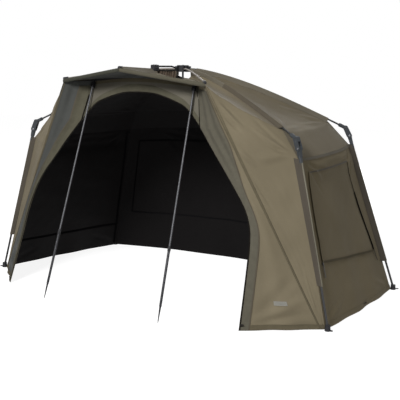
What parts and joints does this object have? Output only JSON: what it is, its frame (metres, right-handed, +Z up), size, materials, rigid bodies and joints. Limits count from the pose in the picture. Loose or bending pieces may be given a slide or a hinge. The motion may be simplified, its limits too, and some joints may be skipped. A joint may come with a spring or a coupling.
{
  "type": "fishing brolly shelter",
  "caption": "Folding angling shelter: cloth over hinged ribs on a hub, folding legs, peaked open doorway and telescopic storm poles in front.",
  "frame": {"origin": "on the ground, in the middle of the shelter's width and depth", "axes": "+X to the shelter's right side seen from the front, +Y to the closed rear wall, +Z up"},
  "size_m": [2.6098, 1.7318, 1.4385],
  "materials": {
    "shelter_cloth": "olive khaki coated ripstop cloth, near black inside",
    "window_cloth": "zipped window cover of the same cloth",
    "frame_metal": "dark grey anodised pole",
    "storm_pole_upper_metal": "satin grey tube",
    "storm_pole_lower_metal": "dark grey tube and spike",
    "hardware_plastic": "black moulded plastic",
    "zip_metal": "dark zip slider and pull"
  },
  "bodies": {
    "hub": {"hub_body": "hardware_plastic", "hub_cap": "hardware_plastic", "hub_stem": "frame_metal", "storm_clip_right": "hardware_plastic", "storm_clip_left": "hardware_plastic"},
    "centre_rib": {"centre_rib_arm": "frame_metal", "centre_rib_block": "hardware_plastic", "centre_rib_pole": "frame_metal", "centre_tip_cap": "hardware_plastic", "door_header": "shelter_cloth"},
    "peak_rib_right": {"peak_rib_right": "frame_metal", "peak_tip_cap_right": "hardware_plastic", "peak_visor_right": "shelter_cloth"},
    "front_rib_right": {"front_rib_right": "frame_metal", "front_right_knuckle_upper": "hardware_plastic", "front_gore_right": "shelter_cloth", "front_wing_right": "shelter_cloth", "side_roof_front_right": "shelter_cloth", "side_wall_right": "shelter_cloth", "side_window_right": "window_cloth"},
    "rear_rib_right": {"rear_rib_right": "frame_metal", "rear_right_knuckle_upper": "hardware_plastic", "side_roof_rear_right": "shelter_cloth", "rear_roof_right": "shelter_cloth", "rear_wall": "shelter_cloth", "rear_window": "window_cloth"},
    "front_leg_right": {"front_right_knuckle_lower": "hardware_plastic", "front_right_leg": "frame_metal", "front_right_foot": "hardware_plastic"},
    "rear_leg_right": {"rear_right_knuckle_lower": "hardware_plastic", "rear_right_leg": "frame_metal", "rear_right_foot": "hardware_plastic"},
    "storm_upper_right": {"storm_pole_upper_right": "storm_pole_upper_metal"},
    "storm_lower_right": {"storm_pole_lower_right": "storm_pole_lower_metal", "storm_pole_collar_right": "hardware_plastic"},
    "peak_rib_left": {"peak_rib_left": "frame_metal", "peak_tip_cap_left": "hardware_plastic", "peak_visor_left": "shelter_cloth"},
    "front_rib_left": {"front_rib_left": "frame_metal", "front_left_knuckle_upper": "hardware_plastic", "front_gore_left": "shelter_cloth", "front_wing_left": "shelter_cloth", "side_roof_front_left": "shelter_cloth", "side_wall_left": "shelter_cloth", "side_window_left": "window_cloth"},
    "rear_rib_left": {"rear_rib_left": "frame_metal", "rear_left_knuckle_upper": "hardware_plastic", "side_roof_rear_left": "shelter_cloth", "rear_roof_left": "shelter_cloth"},
    "front_leg_left": {"front_left_knuckle_lower": "hardware_plastic", "front_left_leg": "frame_metal", "front_left_foot": "hardware_plastic"},
    "rear_leg_left": {"rear_left_knuckle_lower": "hardware_plastic", "rear_left_leg": "frame_metal", "rear_left_foot": "hardware_plastic"},
    "storm_upper_left": {"storm_pole_upper_left": "storm_pole_upper_metal"},
    "storm_lower_left": {"storm_pole_lower_left": "storm_pole_lower_metal", "storm_pole_collar_left": "hardware_plastic"},
    "zip_right": {"zip_slider_right": "zip_metal"},
    "zip_left": {"zip_slider_left": "zip_metal"}
  },
  "joints": [
    {"name": "canopy_fold", "type": "hinge", "parent": "hub", "child": "rear_rib_right", "pos_m": [0.03777, -0.01054, 1.412], "axis": [-0.5436, 0.8393, 0], "range_deg": [0, 40], "deforming": ["side_roof_rear_right", "rear_roof_right", "rear_wall", "rear_window"]},
    {"name": "centre_rib_fold", "type": "hinge", "parent": "hub", "child": "centre_rib", "pos_m": [0, -0.08, 1.412], "axis": [1, 0, 0], "range_deg": [0, 40], "deforming": ["door_header"]},
    {"name": "peak_rib_fold_right", "type": "hinge", "parent": "hub", "child": "peak_rib_right", "pos_m": [0.03191, -0.06673, 1.412], "axis": [0.7051, 0.7091, 0], "range_deg": [0, 40], "deforming": ["peak_visor_right"]},
    {"name": "front_rib_fold_right", "type": "hinge", "parent": "hub", "child": "front_rib_right", "pos_m": [0.04305, -0.04812, 1.412], "axis": [0.2915, 0.9566, 0], "range_deg": [0, 40], "deforming": ["front_gore_right", "front_wing_right", "side_roof_front_right", "side_wall_right", "side_window_right"]},
    {"name": "front_leg_fold_right", "type": "hinge", "parent": "front_rib_right", "child": "front_leg_right", "pos_m": [1.024, -0.347, 0.99], "axis": [0.2625, 0.9649, 0], "range_deg": [0, 125]},
    {"name": "rear_leg_fold_right", "type": "hinge", "parent": "rear_rib_right", "child": "rear_leg_right", "pos_m": [0.902, 0.548, 1.002], "axis": [-0.5252, 0.851, 0], "range_deg": [0, 128.5]},
    {"name": "storm_pole_swing_right", "type": "hinge", "parent": "hub", "child": "storm_upper_right", "pos_m": [0.388, -0.466, 1.3], "axis": [-1, 0, 0], "range_deg": [0, 35]},
    {"name": "storm_pole_slide_right", "type": "slide", "parent": "storm_upper_right", "child": "storm_lower_right", "axis": [-0.039, 0.2927, 0.9554], "range_m": [0, 0.23]},
    {"name": "peak_rib_fold_left", "type": "hinge", "parent": "hub", "child": "peak_rib_left", "pos_m": [-0.03191, -0.06673, 1.412], "axis": [0.7051, -0.7091, 0], "range_deg": [0, 40], "deforming": ["peak_visor_left"]},
    {"name": "front_rib_fold_left", "type": "hinge", "parent": "hub", "child": "front_rib_left", "pos_m": [-0.04305, -0.04812, 1.412], "axis": [0.2915, -0.9566, 0], "range_deg": [0, 40], "deforming": ["front_gore_left", "front_wing_left", "side_roof_front_left", "side_wall_left", "side_window_left"]},
    {"name": "rear_rib_fold_left", "type": "hinge", "parent": "hub", "child": "rear_rib_left", "pos_m": [-0.03777, -0.01054, 1.412], "axis": [-0.5436, -0.8393, 0], "range_deg": [0, 40], "deforming": ["side_roof_rear_left", "rear_roof_left"]},
    {"name": "front_leg_fold_left", "type": "hinge", "parent": "front_rib_left", "child": "front_leg_left", "pos_m": [-1.024, -0.347, 0.99], "axis": [0.2625, -0.9649, 0], "range_deg": [0, 125]},
    {"name": "rear_leg_fold_left", "type": "hinge", "parent": "rear_rib_left", "child": "rear_leg_left", "pos_m": [-0.902, 0.548, 1.002], "axis": [-0.5252, -0.851, 0], "range_deg": [0, 128.5]},
    {"name": "storm_pole_swing_left", "type": "hinge", "parent": "hub", "child": "storm_upper_left", "pos_m": [-0.388, -0.466, 1.3], "axis": [-1, 0, 0], "range_deg": [0, 35]},
    {"name": "storm_pole_slide_left", "type": "slide", "parent": "storm_upper_left", "child": "storm_lower_left", "axis": [0.039, 0.2927, 0.9554], "range_m": [0, 0.23]},
    {"name": "zip_slide_right", "type": "slide", "parent": "front_rib_right", "child": "zip_right", "axis": [-0.2419, 0.0418, 0.9694], "range_m": [0, 0.508]},
    {"name": "zip_slide_left", "type": "slide", "parent": "front_rib_left", "child": "zip_left", "axis": [0.2419, 0.0418, 0.9694], "range_m": [0, 0.508]}
  ],
  "couplings": [
    {"joint": "centre_rib_fold", "follows": "canopy_fold", "ratio": 1},
    {"joint": "peak_rib_fold_right", "follows": "canopy_fold", "ratio": 1},
    {"joint": "front_rib_fold_right", "follows": "canopy_fold", "ratio": 1},
    {"joint": "peak_rib_fold_left", "follows": "canopy_fold", "ratio": 1},
    {"joint": "front_rib_fold_left", "follows": "canopy_fold", "ratio": 1},
    {"joint": "rear_rib_fold_left", "follows": "canopy_fold", "ratio": 1}
  ]
}
